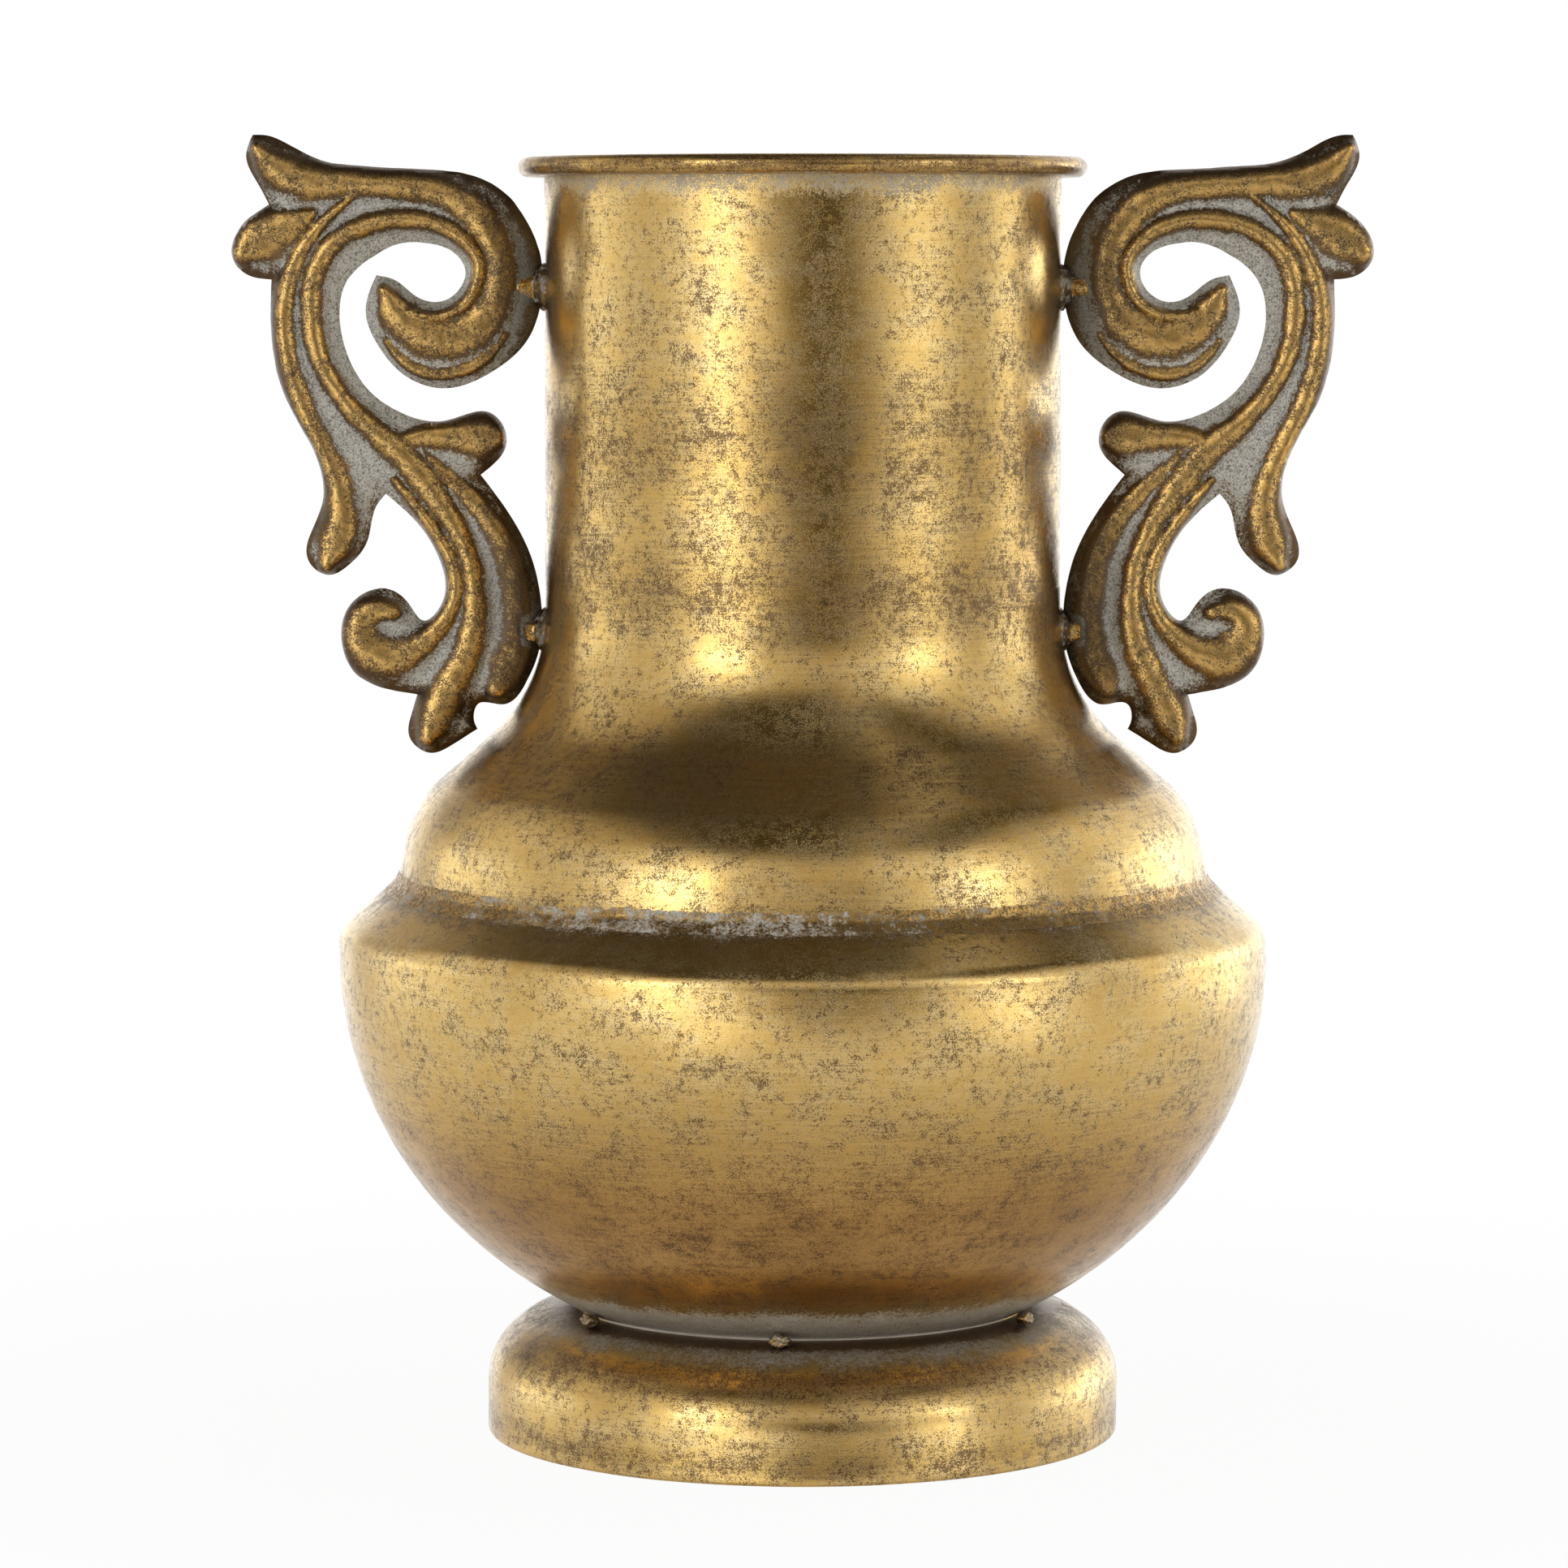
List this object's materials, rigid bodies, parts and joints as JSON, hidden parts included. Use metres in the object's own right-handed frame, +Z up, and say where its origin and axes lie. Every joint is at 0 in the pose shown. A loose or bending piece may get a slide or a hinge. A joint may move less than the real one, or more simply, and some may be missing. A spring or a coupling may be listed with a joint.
{
  "type": "urn vase",
  "caption": "Round-bellied metal urn vase with a straight neck, low spun foot and cast leaf-scroll handles standing off the neck on short stubs.",
  "frame": {"origin": "centre of the foot's underside", "axes": "+Z up through the mouth, X through both handles, +Y toward the back"},
  "size_m": [0.2888, 0.236, 0.3299],
  "materials": {
    "spun_sheet": "antique gold over dark brown, fine speckle and horizontal spinning lines",
    "casting": "bright rubbed gold on the crests, grey patina in the grounds",
    "stub_bar": "dull gold with silvery weld spatter",
    "weld_metal": "rough grey-brown braze with gold flecks"
  },
  "bodies": {
    "root": {"foot_ring": "spun_sheet", "foot_tack_welds": "weld_metal", "belly_bowl": "spun_sheet", "waist_braze": "weld_metal", "shoulder_dome": "spun_sheet", "neck_tube": "spun_sheet", "rim_ring": "spun_sheet", "right_handle": "casting", "left_handle": "casting", "right_upper_stub": "stub_bar", "left_upper_stub": "stub_bar", "right_lower_stub": "stub_bar", "left_lower_stub": "stub_bar", "stub_neck_welds": "weld_metal"}
  },
  "joints": []
}
